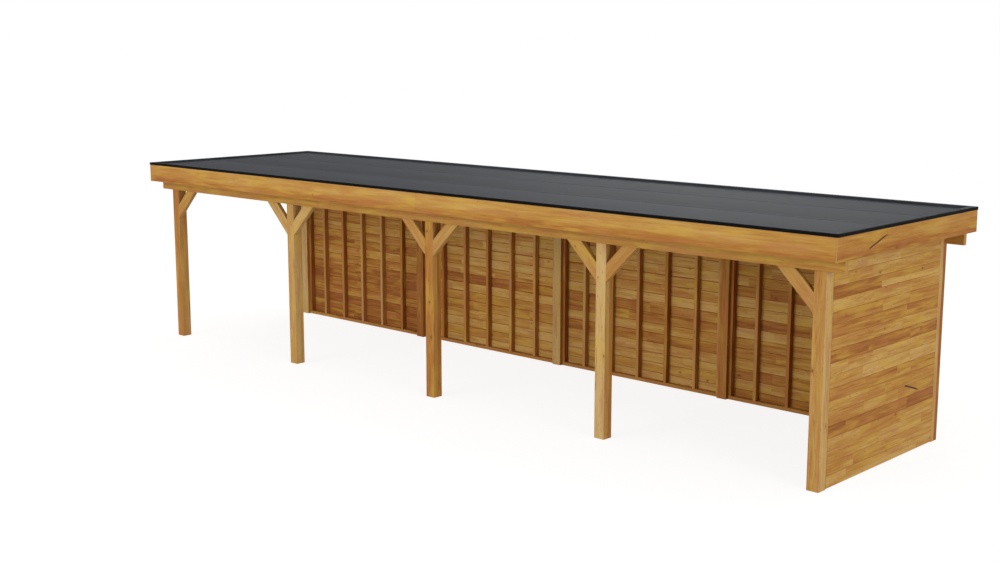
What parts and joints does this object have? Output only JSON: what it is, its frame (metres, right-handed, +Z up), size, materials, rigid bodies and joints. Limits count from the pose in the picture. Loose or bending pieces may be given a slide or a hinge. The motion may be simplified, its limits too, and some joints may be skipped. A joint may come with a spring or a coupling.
{
  "type": "freestanding timber veranda",
  "caption": "Long flat-roofed timber veranda with square posts, open front bays, knee braces, a framed boarded back wall and one boarded end wall.",
  "frame": {"origin": "on the ground under the middle of the roof", "axes": "+X along the length towards the boarded end wall, +Y from the open front to the back wall, +Z up"},
  "size_m": [11.648, 3.068, 2.67],
  "materials": {
    "post_wood": "planed softwood, light golden brown",
    "beam_wood": "planed softwood, golden brown",
    "brace_wood": "planed softwood, light golden brown",
    "frame_wood": "sawn softwood, reddish brown",
    "board_wood": "planed wall boards, varied golden brown",
    "fascia_wood": "planed softwood, golden brown",
    "roof_wood": "sawn softwood under the roof",
    "membrane": "matte dark grey roofing sheet",
    "edge_trim": "satin black coated trim"
  },
  "bodies": {
    "root": {"front_post_1": "post_wood", "back_post_1": "post_wood", "front_post_2": "post_wood", "back_post_2": "post_wood", "front_post_3": "post_wood", "back_post_3": "post_wood", "front_post_4": "post_wood", "back_post_4": "post_wood", "front_post_5": "post_wood", "back_post_5": "post_wood", "front_beam": "beam_wood", "back_beam": "beam_wood", "brace_1_right": "brace_wood", "brace_2_left": "brace_wood", "brace_2_right": "brace_wood", "brace_3_left": "brace_wood", "brace_3_right": "brace_wood", "brace_4_left": "brace_wood", "brace_4_right": "brace_wood", "brace_5_left": "brace_wood", "back_frame_1": "frame_wood", "back_boards_1": "board_wood", "back_frame_2": "frame_wood", "back_boards_2": "board_wood", "back_frame_3": "frame_wood", "back_boards_3": "board_wood", "back_frame_4": "frame_wood", "back_boards_4": "board_wood", "side_frame": "frame_wood", "side_boards": "board_wood", "roof_joists": "roof_wood", "roof_deck": "roof_wood", "roof_membrane": "membrane", "fascia_front": "fascia_wood", "kerb_front": "roof_wood", "edge_trim_front": "edge_trim", "fascia_back": "fascia_wood", "kerb_back": "roof_wood", "edge_trim_back": "edge_trim", "fascia_left": "fascia_wood", "kerb_left": "roof_wood", "edge_trim_left": "edge_trim", "fascia_right": "fascia_wood", "kerb_right": "roof_wood", "edge_trim_right": "edge_trim"}
  },
  "joints": []
}
